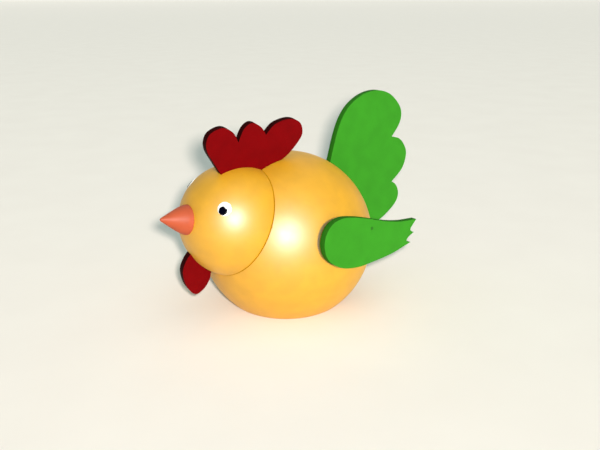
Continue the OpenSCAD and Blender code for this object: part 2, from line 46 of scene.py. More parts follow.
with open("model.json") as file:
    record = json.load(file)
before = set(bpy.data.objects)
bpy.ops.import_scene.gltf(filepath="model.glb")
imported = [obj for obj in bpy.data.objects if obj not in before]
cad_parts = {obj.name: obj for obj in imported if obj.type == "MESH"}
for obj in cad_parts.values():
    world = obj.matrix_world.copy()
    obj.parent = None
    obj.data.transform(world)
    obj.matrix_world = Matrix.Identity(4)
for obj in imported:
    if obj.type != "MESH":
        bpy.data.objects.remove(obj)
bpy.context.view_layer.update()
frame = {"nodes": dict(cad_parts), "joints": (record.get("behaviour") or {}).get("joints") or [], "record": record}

MM = 0.001
UP = Vector((0, 0, 1))
WELD = 1e-7  # points closer than this, in metres, are one


# ---- places taken from the frame ----


def joint(name):
    """The record's joint of that name."""
    return next(j for j in frame["joints"] if j["name"] == name)


NECK = Vector(joint("head_swivel")["axis"]).normalized()
BALL_CENTRE = Vector(joint("head_swivel")["pos_m"])
KEY_AXIS_AT = Vector(joint("key_turn")["pos_m"])


def reach(node, direction, centre):
    """Nearest and furthest that a CAD node goes from a point along a direction."""
    along = [(v.co - centre).dot(direction) for v in frame["nodes"][node].data.vertices]
    return min(along), max(along)


def middle(node):
    """Centre of a CAD node's box."""
    low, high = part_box(node)
    return (low + high) / 2


BALL_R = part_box("body_shell")[1].z - BALL_CENTRE.z
NECK_FLAT = reach("body_shell", NECK, BALL_CENTRE)[1]
HEAD_LOW, HEAD_HIGH = reach("head", NECK, BALL_CENTRE)
HEAD_R = HEAD_HIGH - HEAD_LOW
HEAD_CENTRE = BALL_CENTRE + NECK * HEAD_LOW
BASE_R = math.sqrt(BALL_R**2 - BALL_CENTRE.z**2)
DISC_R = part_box("base_plate")[1].x
DISC_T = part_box("base_plate")[1].z


# ---- sizes and colours a user may change ----


def length(name, description, millimetres):
    """A length property in metres, given in millimetres."""
    return FloatProperty(
        name=name, description=description, default=millimetres * MM, unit="LENGTH", precision=5
    )


def angle(name, description, degrees):
    """An angle property in radians, given in degrees."""
    return FloatProperty(
        name=name, description=description, default=math.radians(degrees), subtype="ANGLE"
    )


def linear(value):
    """Linear colour of an sRGB hex string."""
    channels = [int(value[i : i + 2], 16) / 255 for i in (1, 3, 5)]
    return tuple(c / 12.92 if c <= 0.04045 else ((c + 0.055) / 1.055) ** 2.4 for c in channels)


def paint(name, description, value):
    """A colour property, given as an sRGB hex string."""
    return FloatVectorProperty(
        name=name,
        description=description,
        default=linear(value),
        subtype="COLOR",
        size=3,
        min=0,
        max=1,
    )


class ChickenSizes(bpy.types.PropertyGroup):
    """Sizes that finish the frame's shapes."""

    bore_r: length("Motor bore radius", "Radius of the bore turned up into the ball", 17.5)
    bore_top: length("Motor bore top", "Height of the bore's end above the base", 52)
    rim_round: length("Base rim round", "Rounding of the ball's edge at the base", 0.6)
    neck_round: length("Neck edge round", "Easing of the head's rim at the neck seam", 0.5)
    # The seam band is darker paint that is partly painted shade for the gap.
    seam_shade_band: length("Seam paint and shade", "How far the darker seam band, thick paint and painted shade, runs in at the neck", 1.2)
    board_round: length("Board edge round", "Sanded rounding of the sawn boards' edges", 0.45)
    beak_tip: length("Beak tip round", "Radius of the beak's blunt tip", 0.8)
    beak_short: length("Beak tip trim", "How far the blunt tip stops short of the frame's", 0.03)
    beak_swell: length("Beak swell", "How far the beak's side swells past a straight cone", 0.5)
    glint_r: length("Glint radius", "Radius of the white glint on each pupil", 0.68)
    glint_back: length("Glint back", "How far behind the pupil's middle the glint is", 0.85)
    glint_up: length("Glint up", "How far above the pupil's middle the glint is", 0.95)
    spot_lip: length("Enamel lip", "How far an enamel spot's rim rolls down", 0.5)
    steps: IntProperty(
        name="Turning steps", description="Steps round the body and the head", default=192, min=24
    )


class ChickenColours(bpy.types.PropertyGroup):
    """Paint colours."""

    yellow: paint("Body yellow", "Enamel of the body and head", "#D39902")
    red: paint("Comb red", "Enamel of the comb and wattle", "#6E0004")
    green: paint("Feather green", "Enamel of the tail and wings", "#33881D")
    orange: paint("Beak orange", "Enamel of the beak", "#B45233")
    white: paint("Eye white", "Enamel of the eyes", "#F4F5F2")
    black: paint("Pupil black", "Enamel of the pupils", "#02020F")


class StageSettings(bpy.types.PropertyGroup):
    """Camera and light."""

    azimuth: angle("Azimuth", "Camera's turn round the object", 50.97)
    elevation: angle("Elevation", "Camera's height angle", 18.42)
    roll: angle("Roll", "Camera's tilt about its own axis", -0.37)
    distance: length("Distance", "From the camera to the middle of the ball", 329.4)
    aim_right: length("Aim right", "How far right of the ball the camera looks", 6.4)
    aim_up: length("Aim up", "How far above the ball the camera looks", 5.0)
    lens: FloatProperty(
        name="Lens", description="Focal length on a 36 mm frame", default=42.0, unit="CAMERA"
    )


def sizes():
    """The scene's size settings."""
    return bpy.context.scene.chicken_sizes


def colours():
    """The scene's colour settings."""
    return bpy.context.scene.chicken_colours


# ---- mesh helpers ----


def link(name, bm, materials):
    """Makes a finished bmesh an object in the scene."""
    mesh = bpy.data.meshes.new(name)
    bm.to_mesh(mesh)
    bm.free()
    for material in materials:
        mesh.materials.append(material)
    piece = bpy.data.objects.new(name, mesh)
    bpy.context.scene.collection.objects.link(piece)
    return piece


def finish_piece(piece, node, body):
    """Lets a piece stand for its CAD node and ride on the node's body."""
    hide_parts(node)
    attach(piece, body)


def turned_to(direction, centre):
    """Matrix that takes local +Z along a direction and the origin to a centre."""
    return Matrix.Translation(centre) @ UP.rotation_difference(direction).to_matrix().to_4x4()


def arc(centre_x, centre_y, radius, start, end, steps):
    """Points along an arc, in degrees from the first axis."""
    angles = [math.radians(start + (end - start) * i / steps) for i in range(steps + 1)]
    return [(centre_x + radius * math.cos(a), centre_y + radius * math.sin(a)) for a in angles]


def turn(profile, steps):
    """A lathe-turned bmesh from (radius, height) points that start and end on the axis."""
    bm = bmesh.new()
    points = [bm.verts.new((r, 0, h)) for r, h in profile]
    edges = [bm.edges.new(pair) for pair in zip(points, points[1:])]
    bmesh.ops.spin(
        bm,
        geom=points + edges,
        cent=(0, 0, 0),
        axis=(0, 0, 1),
        angle=math.tau,
        steps=steps,
        use_merge=True,
    )
    bmesh.ops.remove_doubles(bm, verts=bm.verts, dist=WELD)
    bmesh.ops.dissolve_degenerate(bm, dist=WELD, edges=bm.edges)
    bmesh.ops.recalc_face_normals(bm, faces=bm.faces)
    return bm


def smooth(bm, crease=30):
    """Smooth faces, with edges sharper than the crease angle kept crisp."""
    for face in bm.faces:
        face.smooth = True
    for edge in bm.edges:
        edge.smooth = len(edge.link_faces) == 2 and edge.calc_face_angle(0) < math.radians(crease)


def ease(bm, edges, radius):
    """Rounds edges in three steps."""
    bmesh.ops.bevel(
        bm,
        geom=edges,
        offset=radius,
        offset_type="OFFSET",
        affect="EDGES",
        segments=3,
        profile=0.5,
        material=-1,
        clamp_overlap=True,
    )


def merged_copy(node, flat=2.0):
    """A CAD node's shape as a clean bmesh, with facets under the flat angle made one face."""
    bm = bmesh.new()
    bm.from_mesh(frame["nodes"][node].data)
    bmesh.ops.remove_doubles(bm, verts=bm.verts, dist=10 * WELD)
    bmesh.ops.dissolve_limit(bm, angle_limit=math.radians(flat), verts=bm.verts, edges=bm.edges)
    return bm


def eased_copy(node, radius, sharp=50):
    """A CAD node's shape with the edges past the sharp angle rounded."""
    bm = merged_copy(node)
    walls = [e for e in bm.edges if len(e.link_faces) == 2]
    ease(bm, [e for e in walls if e.calc_face_angle(0) > math.radians(sharp)], radius)
    smooth(bm)
    return bm


def cut(piece, cutter):
    """Cuts one object's shape out of another, and removes the cutter."""
    modifier = piece.modifiers.new("cut", "BOOLEAN")
    modifier.operation = "DIFFERENCE"
    modifier.solver = "EXACT"
    modifier.object = cutter
    finished = piece.evaluated_get(bpy.context.evaluated_depsgraph_get())
    result = bpy.data.meshes.new_from_object(finished)
    piece.modifiers.remove(modifier)
    piece.data = result
    bpy.data.objects.remove(cutter)


# ---- materials ----

# Sizes of the patterns, across and, where they run one way, along.
PAINT_CLOUD = 7 * MM  # thicker and thinner film left by the brush
PAINT_RUB = 4 * MM  # patches that shine a little more or less
ORANGE_PEEL = 0.9 * MM
RAISED_GRAIN = (1.2 * MM, 14 * MM)
DROP_CLOUD = 1.5 * MM
RING_BEND = 20 * MM  # how far apart the growth rings' bends are
RING_RUN = 40 * MM  # how far their figure is drawn out along the grain
WOOD_FLECK = (0.4 * MM, 3 * MM)
METAL_SCRATCH = (0.2 * MM, 2.4 * MM)  # real ones are finer: drawn this coarse to show
METAL_PATCH = 3 * MM
RUBBER_STIPPLE = 0.35 * MM
PAPER_CLOUD = 45 * MM


def add(tree, kind, inputs=None, **settings):
    """Adds a shader node, sets its properties and feeds its inputs with values or links."""
    made = tree.nodes.new(kind)
    for key, value in settings.items():
        setattr(made, key, value)
    for key, value in (inputs or {}).items():
        if isinstance(value, bpy.types.NodeSocket):
            tree.links.new(value, made.inputs[key])
        else:
            made.inputs[key].default_value = value
    return made


def start_material(name):
    """An empty node material with a surface shader; returns it, its tree and the shader."""
    material = bpy.data.materials.new(name)
    material.use_nodes = True
    tree = material.node_tree
    shader = tree.nodes["Principled BSDF"]
    return material, tree, shader


def grain_scale(across, along):
    """Scale of a pattern that runs along Y."""
    return 1 / across, 1 / along, 1 / across


def rgba(colour, factor=1.0):
    """Four channels from three, scaled."""
    return tuple(c * factor for c in colour) + (1.0,)


def enamel(name, colour, tone_and_shade=1.0, roughness=0.47, grain=0.15, specular=0.1, mottle=0.05):
    """Brushed satin enamel on sanded wood: even colour with faint mottling, a soft broad
    highlight, slight orange peel, and a trace of the grain under the film. A tone below 1
    darkens the colour. On the nail head that is the paint's own darker coat. In the seam
    and on the sawn edges it is partly darker paint and partly painted shade."""
    material, tree, shader = start_material(name)
    place = add(tree, "ShaderNodeTexCoord").outputs["Object"]
    cloud = add(
        tree, "ShaderNodeTexNoise", {"Vector": place, "Scale": 1 / PAINT_CLOUD, "Detail": 5.0}
    )
    share = add(
        tree,
        "ShaderNodeMapRange",
        {"Value": cloud.outputs["Fac"], "From Min": 0.35, "From Max": 0.65},
    )
    thin = rgba(colour, (1 - mottle) * tone_and_shade)
    thick = rgba(colour, (1 + mottle) * tone_and_shade)
    shade = add(
        tree,
        "ShaderNodeMix",
        {0: share.outputs["Result"], 6: thin, 7: thick},
        data_type="RGBA",
    )
    tree.links.new(shade.outputs[2], shader.inputs["Base Color"])
    rub = add(
        tree, "ShaderNodeTexNoise", {"Vector": place, "Scale": 1 / PAINT_RUB, "Detail": 4.0}
    )
    rough = add(
        tree,
        "ShaderNodeMapRange",
        {"Value": rub.outputs["Fac"], "To Min": roughness - 0.04, "To Max": roughness + 0.05},
    )
    tree.links.new(rough.outputs["Result"], shader.inputs["Roughness"])
    peel = add(
        tree, "ShaderNodeTexNoise", {"Vector": place, "Scale": 1 / ORANGE_PEEL, "Detail": 2.0}
    )
    stretch = add(
        tree, "ShaderNodeMapping", {"Vector": place, "Scale": grain_scale(*RAISED_GRAIN)}
    )
    fibre = add(
        tree,
        "ShaderNodeTexNoise",
        {"Vector": stretch.outputs["Vector"], "Scale": 1.0, "Detail": 3.0},
    )
    film = add(
        tree,
        "ShaderNodeBump",
        {"Height": peel.outputs["Fac"], "Strength": 0.12, "Distance": 0.02 * MM},
    )
    under = add(
        tree,
        "ShaderNodeBump",
        {
            "Height": fibre.outputs["Fac"],
            "Strength": grain,
            "Distance": 0.04 * MM,
            "Normal": film.outputs["Normal"],
        },
    )
    tree.links.new(under.outputs["Normal"], shader.inputs["Normal"])
    shader.inputs["IOR"].default_value = 1.6
    shader.inputs["Specular IOR Level"].default_value = specular
    return material


def gloss_enamel(name, colour, specular=0.3):
    """A brushed-on drop of gloss enamel: level, wet-looking, a little uneven."""
    material, tree, shader = start_material(name)
    place = add(tree, "ShaderNodeTexCoord").outputs["Object"]
    mottle = add(
        tree, "ShaderNodeTexNoise", {"Vector": place, "Scale": 1 / DROP_CLOUD, "Detail": 2.0}
    )
    shade = add(
        tree,
        "ShaderNodeMix",
        {0: mottle.outputs["Fac"], 6: rgba(colour, 0.96), 7: rgba(colour)},
        data_type="RGBA",
    )
    tree.links.new(shade.outputs[2], shader.inputs["Base Color"])
    film = add(
        tree,
        "ShaderNodeBump",
        {"Height": mottle.outputs["Fac"], "Strength": 0.1, "Distance": 0.03 * MM},
    )
    tree.links.new(film.outputs["Normal"], shader.inputs["Normal"])
    shader.inputs["Roughness"].default_value = 0.3
    shader.inputs["Specular IOR Level"].default_value = specular
    return material


def bare_wood(name, light, dark, ring=2.2 * MM):
    """Sanded, unpainted beech or birch: growth rings, short dark flecks and a dull face."""
    material, tree, shader = start_material(name)
    place = add(tree, "ShaderNodeTexCoord").outputs["Object"]
    warp = add(
        tree, "ShaderNodeTexNoise", {"Vector": place, "Scale": 1 / RING_BEND, "Detail": 2.0}
    )
    bent = add(tree, "ShaderNodeMapping", {"Vector": place, "Scale": grain_scale(ring, RING_RUN)})
    mixed = add(
        tree,
        "ShaderNodeVectorMath",
        {0: bent.outputs["Vector"], 1: warp.outputs["Color"]},
        operation="ADD",
    )
    rings = add(
        tree,
        "ShaderNodeTexWave",
        {"Vector": mixed.outputs["Vector"], "Scale": 0.35, "Distortion": 2.5, "Detail": 3.0},
    )
    fleck_place = add(
        tree, "ShaderNodeMapping", {"Vector": place, "Scale": grain_scale(*WOOD_FLECK)}
    )
    flecks = add(
        tree,
        "ShaderNodeTexNoise",
        {"Vector": fleck_place.outputs["Vector"], "Scale": 1.0, "Detail": 4.0},
    )
    shade = add(
        tree,
        "ShaderNodeMix",
        {0: rings.outputs["Fac"], 6: rgba(light), 7: rgba(dark)},
        data_type="RGBA",
    )
    fleck_fac = add(
        tree,
        "ShaderNodeMapRange",
        {"Value": flecks.outputs["Fac"], "From Min": 0.58, "From Max": 0.75},
    )
    speck = add(
        tree,
        "ShaderNodeMix",
        {0: fleck_fac.outputs["Result"], 6: shade.outputs[2], 7: rgba(dark, 0.8)},
        data_type="RGBA",
    )
    tree.links.new(speck.outputs[2], shader.inputs["Base Color"])
    face = add(
        tree,
        "ShaderNodeBump",
        {"Height": flecks.outputs["Fac"], "Strength": 0.3, "Distance": 0.05 * MM},
    )
    tree.links.new(face.outputs["Normal"], shader.inputs["Normal"])
    shader.inputs["Roughness"].default_value = 0.62
    return material


def metal(name, colour, roughness, scratch=0.25):
    """Rolled, stamped or plated metal: fine directional scratches and patchy shine."""
    material, tree, shader = start_material(name)
    place = add(tree, "ShaderNodeTexCoord").outputs["Object"]
    across, along = METAL_SCRATCH
    drawn = add(
        tree, "ShaderNodeMapping", {"Vector": place, "Scale": (1 / along, 1 / across, 1 / across)}
    )
    lines = add(
        tree,
        "ShaderNodeTexNoise",
        {"Vector": drawn.outputs["Vector"], "Scale": 1.0, "Detail": 4.0},
    )
    patch = add(
        tree, "ShaderNodeTexNoise", {"Vector": place, "Scale": 1 / METAL_PATCH, "Detail": 3.0}
    )
    shade = add(
        tree,
        "ShaderNodeMix",
        {0: patch.outputs["Fac"], 6: rgba(colour, 0.85), 7: rgba(colour)},
        data_type="RGBA",
    )
    tree.links.new(shade.outputs[2], shader.inputs["Base Color"])
    rough = add(
        tree,
        "ShaderNodeMapRange",
        {"Value": lines.outputs["Fac"], "To Min": roughness * 0.75, "To Max": roughness * 1.3},
    )
    tree.links.new(rough.outputs["Result"], shader.inputs["Roughness"])
    bump = add(
        tree,
        "ShaderNodeBump",
        {"Height": lines.outputs["Fac"], "Strength": scratch, "Distance": 0.02 * MM},
    )
    tree.links.new(bump.outputs["Normal"], shader.inputs["Normal"])
    shader.inputs["Metallic"].default_value = 1.0
    return material


def moulded_rubber(name, colour):
    """Matt moulded rubber: dusty high spots and a fine stipple."""
    material, tree, shader = start_material(name)
    place = add(tree, "ShaderNodeTexCoord").outputs["Object"]
    stipple = add(
        tree, "ShaderNodeTexNoise", {"Vector": place, "Scale": 1 / RUBBER_STIPPLE, "Detail": 2.0}
    )
    shade = add(
        tree,
        "ShaderNodeMix",
        {0: stipple.outputs["Fac"], 6: rgba(colour), 7: rgba(colour, 1.6)},
        data_type="RGBA",
    )
    tree.links.new(shade.outputs[2], shader.inputs["Base Color"])
    bump = add(
        tree,
        "ShaderNodeBump",
        {"Height": stipple.outputs["Fac"], "Strength": 0.4, "Distance": 0.05 * MM},
    )
    tree.links.new(bump.outputs["Normal"], shader.inputs["Normal"])
    shader.inputs["Roughness"].default_value = 0.78
    return material


MATERIALS = {}


def build_materials():
    """Every finish on the toy, by the record's material slot or its own name."""
    c = colours()
    MATERIALS.update(
        # Brushed enamel over a sanded ball: warm, even, with one broad soft highlight.
        yellow_enamel=enamel(
            "yellow satin enamel on turned wood", c.yellow, roughness=0.48, specular=0.65
        ),
        # The same paint, darker in the seam: partly thicker paint, partly painted shade for the shadow in the gap
        # between head and body; a fine dark ochre line.
        yellow_seam=enamel(
            "yellow enamel run into the neck seam", c.yellow, tone_and_shade=0.8, roughness=0.6, specular=0.05
        ),
        # One dull coat on plywood: flat, deep, a little patchy.
        red_enamel=enamel(
            "red satin enamel on sawn board",
            c.red,
            roughness=0.5,
            grain=0.3,
            specular=0.03,
            mottle=0.07,
        ),
        # End grain drinks the paint, and the colour is darkened further as painted shade for edges turned from the
        # light: nearly black and quite matt.
        red_edge=enamel(
            "red enamel soaked into sawn edge",
            c.red,
            tone_and_shade=0.15,
            roughness=0.6,
            grain=0.5,
            specular=0.02,
        ),
        # One dull coat on plywood: fresh, even green with faint cloudiness.
        green_enamel=enamel(
            "green satin enamel on sawn board", c.green, roughness=0.5, grain=0.3, specular=0.05
        ),
        # End grain again, darkened further as painted shade for edges turned from the light: a darker, matt rim
        # round each feather.
        green_edge=enamel(
            "green enamel soaked into sawn edge",
            c.green,
            tone_and_shade=0.6,
            roughness=0.6,
            grain=0.5,
            specular=0.02,
        ),
        # A turned cone dipped in enamel: salmon orange with a soft streak of light.
        orange_enamel=enamel("orange satin enamel on turned wood", c.orange, roughness=0.5),
        # Drops laid on with a brush's end: level, wet-looking spots.
        white_enamel=gloss_enamel("white gloss enamel drop", c.white),
        black_enamel=gloss_enamel("black gloss enamel drop", c.black, specular=0.01),
        # Bare turned beech: tan, with fine rings and short dark flecks.
        beech=bare_wood("sanded beech", linear("#D9B27C"), linear("#B98A54")),
        # Rotary-cut birch ply: paler, with wide lazy figure.
        base_board=bare_wood(
            "waxed birch ply disc", linear("#D8B584"), linear("#B08450"), ring=3.5 * MM
        ),
        # Zinc-plated screws: cool grey, between bright and dull.
        zinc_steel=metal("zinc plated steel", linear("#C9CBCD"), 0.35),
        # Tempered spring steel: dark slate blue.
        blued_steel=metal("blued spring steel", linear("#39455C"), 0.3),
        # A nail head under the wing's green coat: a faint darker dot.
        painted_steel=enamel("green enamel over a steel nail", c.green, tone_and_shade=0.6, roughness=0.4),
        # Polished nickel: warm silver with sharp reflections and hairline scratches.
        nickel_key=metal("nickel plated steel key", linear("#D5D2CA"), 0.2, scratch=0.12),
        # Punched clock brass: yellow, with rolling lines.
        motor_brass=metal("stamped brass", linear("#D9AE55"), 0.28),
        # Tinplate under clear lacquer: pale straw metal.
        plate_steel=metal("lacquered tinplate", linear("#CFC3A0"), 0.3),
        # A moulded foot: matt black with a dusty bloom.
        foot_rubber=moulded_rubber("moulded black rubber", linear("#1B1B1D")),
    )


def dress_cad_nodes():
    """Gives each CAD node the finish that the record names for it."""
    for part in frame["record"]["subparts"]:
        mesh = frame["nodes"][part["node"]].data
        mesh.materials.clear()
        mesh.materials.append(MATERIALS[part["material_slot"]])


# ---- pieces ----

RIM_ANGLE = 2  # degrees of a ball's side left for its rounded rim
# The seam finish is a darker yellow: partly thicker paint, partly painted shade for the gap.
BALL_FINISHES = ("yellow_enamel", "beech", "yellow_seam")
ENAMELLED, BARE, SHADED_SEAM = range(3)  # places in that list


class CHICKEN_OT_body_ball(bpy.types.Operator):
    """Turns the hollow body ball, planes its neck flat and sinks the key's pocket"""

    bl_idname = "chicken.body_ball"
    bl_label = "Body Ball"

    FLANGE_STEP = 1.4 * MM  # the pocket is this much wider than the flange, the tunnel narrower
    FLANGE_T = 1.2 * MM
    OUTSIDE = 2 * MM  # the cutter starts this far outside the ball

    def execute(self, context):
        s = sizes()
        rim = s.rim_round
        base_angle = math.degrees(math.asin(-BALL_CENTRE.z / BALL_R))
        bore = [(0, s.bore_top), (s.bore_r, s.bore_top), (s.bore_r, DISC_T)]
        seat = [(DISC_R, DISC_T), (DISC_R, rim / 2), (DISC_R + rim / 2, 0)]
        rounding = [
            (BASE_R - rim, 0),
            (BASE_R - rim * 0.35, rim * 0.12),
            (BASE_R + rim * 0.12, rim * 0.5),
        ]
        ball = arc(0, BALL_CENTRE.z, BALL_R, base_angle + RIM_ANGLE, 90, steps=88)
        ball[-1] = (0, BALL_CENTRE.z + BALL_R)
        bm = turn(bore + seat + rounding + ball, s.steps)
        sliced = bmesh.ops.bisect_plane(
            bm,
            geom=bm.verts[:] + bm.edges[:] + bm.faces[:],
            plane_co=BALL_CENTRE + NECK * NECK_FLAT,
            plane_no=NECK,
            clear_outer=True,
        )
        lip = [e for e in sliced["geom_cut"] if isinstance(e, bmesh.types.BMEdge)]
        flat = bmesh.ops.contextual_create(bm, geom=lip)["faces"][0]
        bmesh.ops.recalc_face_normals(bm, faces=bm.faces)
        # The ring round the neck flat gets the darker seam finish, partly painted shade.
        bmesh.ops.inset_region(bm, faces=[flat], thickness=s.seam_shade_band, use_even_offset=True)
        for face in bm.faces:
            spot = face.calc_center_median()
            under = math.hypot(spot.x, spot.y) < DISC_R + rim and spot.z < s.bore_top + MM
            hollow = under and (spot - BALL_CENTRE).length < BALL_R * 0.99
            at_seam = (spot - BALL_CENTRE).dot(NECK) > NECK_FLAT - 0.05 * MM
            face.material_index = BARE if face == flat or hollow else SHADED_SEAM if at_seam else ENAMELLED
        piece = link("body_ball", bm, [MATERIALS[slot] for slot in BALL_FINISHES])
        self.sink_pocket(piece)
        finish_piece(piece, "body_shell", "body")
        return {"FINISHED"}

    def sink_pocket(self, piece):
        """Cuts the round pocket that the key's bush sits in, and its tunnel to the bore."""
        low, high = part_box("key_bush")
        flange_r = (high.y - low.y) / 2
        pocket_r, tunnel_r = flange_r + self.FLANGE_STEP, flange_r - self.FLANGE_STEP
        start_x = -BALL_R - self.OUTSIDE
        seat = low.x + self.FLANGE_T - start_x
        end = -start_x - sizes().bore_r + MM
        profile = [(0, 0), (pocket_r, 0), (pocket_r, seat), (tunnel_r, seat)]
        profile += [(tunnel_r, end), (0, end)]
        cutter = link("pocket_cutter", turn(profile, steps=96), [MATERIALS["yellow_enamel"]])
        start = Vector((start_x, KEY_AXIS_AT.y, KEY_AXIS_AT.z))
        cutter.data.transform(turned_to(Vector((1, 0, 0)), start))
        cut(piece, cutter)
        bm = bmesh.new()
        bm.from_mesh(piece.data)
        smooth(bm)
        bm.to_mesh(piece.data)
        bm.free()


class CHICKEN_OT_head_ball(bpy.types.Operator):
    """Turns the half ball of the head, with its rim eased at the seam"""

    bl_idname = "chicken.head_ball"
    bl_label = "Head"

    def execute(self, context):
        s = sizes()
        rim = s.neck_round
        lip = [(0, 0), (HEAD_R - rim, 0), (HEAD_R - rim * 0.3, rim * 0.12)]
        lip += [(HEAD_R - rim * 0.03, rim * 0.6), (HEAD_R - rim * 0.01, rim)]
        dome = arc(0, 0, HEAD_R, RIM_ANGLE, 90, steps=64)
        dome[-1] = (0, HEAD_R)
        bm = turn(lip + dome, s.steps)
        for face in bm.faces:
            height = face.calc_center_median().z
            # The eased rim gets the darker seam finish, partly painted shade.
            at_seam = height < rim * 0.9
            face.material_index = BARE if height < rim * 0.05 else SHADED_SEAM if at_seam else ENAMELLED
        bmesh.ops.transform(bm, matrix=turned_to(NECK, HEAD_CENTRE), verts=bm.verts)
        smooth(bm)
        piece = link("head_half_ball", bm, [MATERIALS[slot] for slot in BALL_FINISHES])
        finish_piece(piece, "head", "head")
        return {"FINISHED"}


class CHICKEN_OT_beak(bpy.types.Operator):
    """Turns the cone beak with its swelling sides, blunt tip and concave seat"""

    bl_idname = "chicken.beak"
    bl_label = "Beak"

    TUCK = 0.02 * MM  # how far the seat lies inside the head's face
    SEAT_IN = 0.5 * MM  # how far the seat ends inside the beak's rim
    RIM = ((0.2, -0.15), (0.03, 0.15), (0.02, 0.35), (0.16, 0.6))  # mm in and mm up, seat to side
    SIDE_STEPS = 16
    SWELL_SKEW = 0.6  # below 1, the side swells most nearer the head
    NOSE_FROM = 34  # degrees above level where the side meets the round tip

    def execute(self, context):
        s = sizes()
        vertices = [v.co - HEAD_CENTRE for v in frame["nodes"]["beak"].data.vertices]
        way = max(vertices, key=lambda v: v.length).normalized()
        tip = max(v.length for v in vertices) - s.beak_short
        base_r = max((v - way * v.dot(way)).length for v in vertices)
        base_s = math.sqrt(HEAD_R**2 - base_r**2)
        seat_r = HEAD_R - self.TUCK
        seat_end = math.degrees(math.acos((base_r - self.SEAT_IN) / HEAD_R))
        seat = arc(0, 0, seat_r, 90, seat_end, steps=10)
        seat[0] = (0, seat_r)
        edge = [(base_r - inward * MM, base_s + up * MM) for inward, up in self.RIM]
        nose = arc(0, tip - s.beak_tip, s.beak_tip, self.NOSE_FROM, 90, steps=8)
        nose[-1] = (0, tip)
        start, end = Vector(edge[-1]), Vector(nose[0])
        side = []
        for i in range(1, self.SIDE_STEPS):
            t = i / self.SIDE_STEPS
            swell = s.beak_swell * math.sin(math.pi * t**self.SWELL_SKEW)
            radius, height = start.lerp(end, t)
            side.append((radius + swell, height))
        bm = turn(seat + edge + side + nose, steps=128)
        bmesh.ops.transform(bm, matrix=turned_to(way, HEAD_CENTRE), verts=bm.verts)
        smooth(bm, crease=50)
        piece = link("beak_cone", bm, [MATERIALS["orange_enamel"]])
        finish_piece(piece, "beak", "head")
        return {"FINISHED"}


class CHICKEN_OT_boards(bpy.types.Operator):
    """Sands the edges of the sawn comb, wattle, tail and wings"""

    bl_idname = "chicken.boards"
    bl_label = "Boards"

    # Node, body and paint.
    BOARDS = (
        ("comb", "head", "red"),
        ("wattle", "head", "red"),
        ("tail", "body", "green"),
        ("wing_left", "body", "green"),
        ("wing_right", "body", "green"),
    )
    PAINTED_FACE = 0.6  # cosine of the turn past which a face is the sawn edge, darker partly as painted shade
    FLAT_FACE = 0.999  # and the one within which it is shaded flat

    def execute(self, context):
        for node, body, paint_name in self.BOARDS:
            bm = eased_copy(node, sizes().board_round)
            across = max(bm.faces, key=lambda f: f.calc_area()).normal.copy()
            for face in bm.faces:
                facing = abs(face.normal.dot(across))
                face.material_index = 0 if facing > self.PAINTED_FACE else 1
                if facing > self.FLAT_FACE:
                    face.smooth = False
            # Sawn edges get a darker finish that is partly painted shade.
            materials = [MATERIALS[paint_name + "_enamel"], MATERIALS[paint_name + "_edge"]]
            piece = link(node + "_board", bm, materials)
            finish_piece(piece, node, body)
        return {"FINISHED"}


class CHICKEN_OT_eyes(bpy.types.Operator):
    """Paints the eyes: a raised white spot, a black pupil and a white glint on each side"""

    bl_idname = "chicken.eyes"
    bl_label = "Eyes"

    # Heights over the head where each drop starts; the ones on top start inside those below.
    PUPIL_BASE = 0.12 * MM
    GLINT_BASE = 0.3 * MM
    GLINT_FILM = 0.14 * MM
    ROOT = 0.3 * MM  # how deep a drop's hidden back lies under its start

    def execute(self, context):
        s = sizes()
        for side in ("left", "right"):
            white, pupil = "eye_" + side, "pupil_" + side
            self.spot("white_" + side, white, HEAD_R, "white_enamel")
            self.spot("black_" + side, pupil, HEAD_R + self.PUPIL_BASE, "black_enamel")
            pupil_way = (middle(pupil) - HEAD_CENTRE).normalized()
            level = UP.cross(pupil_way).normalized()
            level = level if level.y > 0 else -level
            upward = pupil_way.cross(level)
            upward = upward if upward.z > 0 else -upward
            glint_way = pupil_way * HEAD_R + level * s.glint_back + upward * s.glint_up
            glint_way.normalize()
            glint = self.drop(glint_way, HEAD_R + self.GLINT_BASE, s.glint_r, self.GLINT_FILM)
            piece = link("glint_" + side, glint, [MATERIALS["white_enamel"]])
            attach(piece, "head")
        return {"FINISHED"}

    def spot(self, name, node, base, slot):
        """Replaces a CAD spot with a domed drop of enamel of the same width and height."""
        way = (middle(node) - HEAD_CENTRE).normalized()
        vertices = [v.co - HEAD_CENTRE for v in frame["nodes"][node].data.vertices]
        radius = max((v - way * v.dot(way)).length for v in vertices)
        top = max(v.length for v in vertices)
        piece = link(name, self.drop(way, base, radius, top - base), [MATERIALS[slot]])
        finish_piece(piece, node, "head")

    def drop(self, way, base, radius, film):
        """A closed enamel drop that follows the head's curve and rolls down at its rim."""
        lip = min(sizes().spot_lip, radius * 0.45)
        crown, roll = 8, 6
        profile = []
        for i in range(crown + 1):
            r = (radius - lip) * i / crown
            profile.append((r, math.sqrt((base + film) ** 2 - r * r)))
        for i in range(1, roll + 1):
            a = math.radians(90 * i / roll)
            r = radius - lip + lip * math.sin(a)
            profile.append((r, math.sqrt((base + film * math.cos(a)) ** 2 - r * r)))
        back = base - self.ROOT
        profile += [(radius * 0.9, math.sqrt(back**2 - radius**2)), (0, back)]
        bm = turn(profile, steps=64)
        bmesh.ops.transform(bm, matrix=turned_to(way, HEAD_CENTRE), verts=bm.verts)
        smooth(bm, crease=60)
        return bm


